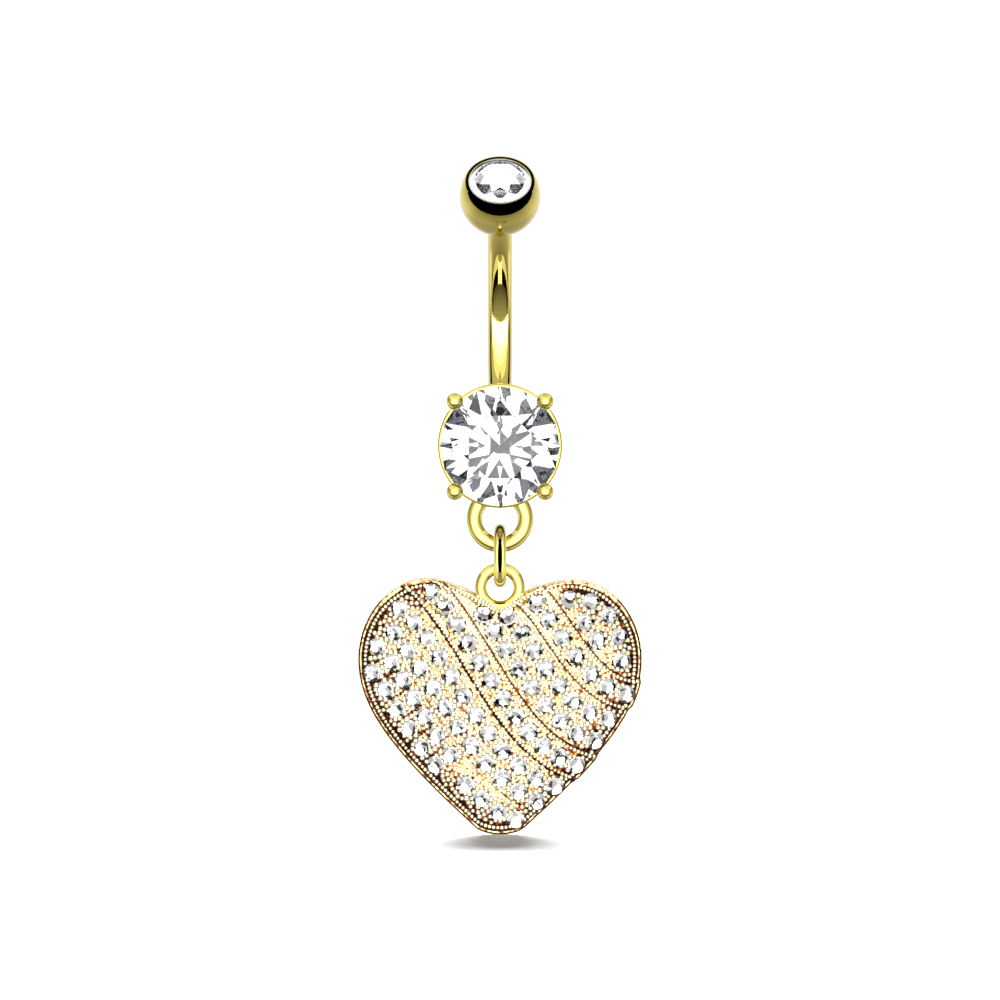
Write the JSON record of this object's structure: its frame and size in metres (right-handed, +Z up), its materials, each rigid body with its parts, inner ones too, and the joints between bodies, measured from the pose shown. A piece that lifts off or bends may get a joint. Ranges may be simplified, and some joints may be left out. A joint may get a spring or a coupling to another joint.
{
  "type": "navel ring",
  "caption": "Bent-bar navel ring with a screw-on ball holding a crystal, a round stone in a four-prong basket, and a heart set with small stones that hangs on a jump ring.",
  "frame": {"origin": "The middle of the bar's bend, on the bar's own centre line, where it passes through the piercing.", "axes": "+Z is up, along the piercing, and the heart hangs towards -Z; -Y is the front that the stones face; +X is to the viewer's right."},
  "size_m": [0.0186, 0.0101, 0.0442],
  "materials": {
    "gold_plate": "polished yellow gold plate",
    "heart_gold": "polished cast gold plate, darker in its crevices",
    "bright_steel": "mirror-polished silver-white cup",
    "clear_stone": "clear cubic zirconia, round brilliant cut",
    "small_stones": "clear cubic zirconia, small brilliant cut"
  },
  "bodies": {
    "bar": {"barbell": "gold_plate", "main_stone": "clear_stone"},
    "ball": {"top_ball": "gold_plate", "gem_cup": "bright_steel", "top_gem": "clear_stone"},
    "link": {"jump_ring": "gold_plate"},
    "pendant": {"heart": "heart_gold", "pave_stones": "small_stones"}
  },
  "joints": [
    {"name": "ball_turn", "type": "hinge", "parent": "bar", "child": "ball", "pos_m": [0, -0.0041, 0.00738], "axis": [0, -0.7071, 0.7071], "continuous": true},
    {"name": "link_swing", "type": "hinge", "parent": "bar", "child": "link", "pos_m": [0, -0.0068, -0.01526], "axis": [1, 0, 0], "range_deg": [-75, 75]},
    {"name": "heart_sway", "type": "hinge", "parent": "link", "child": "pendant", "pos_m": [0, -0.0068, -0.01765], "axis": [0, 1, 0], "range_deg": [-45, 45]}
  ]
}
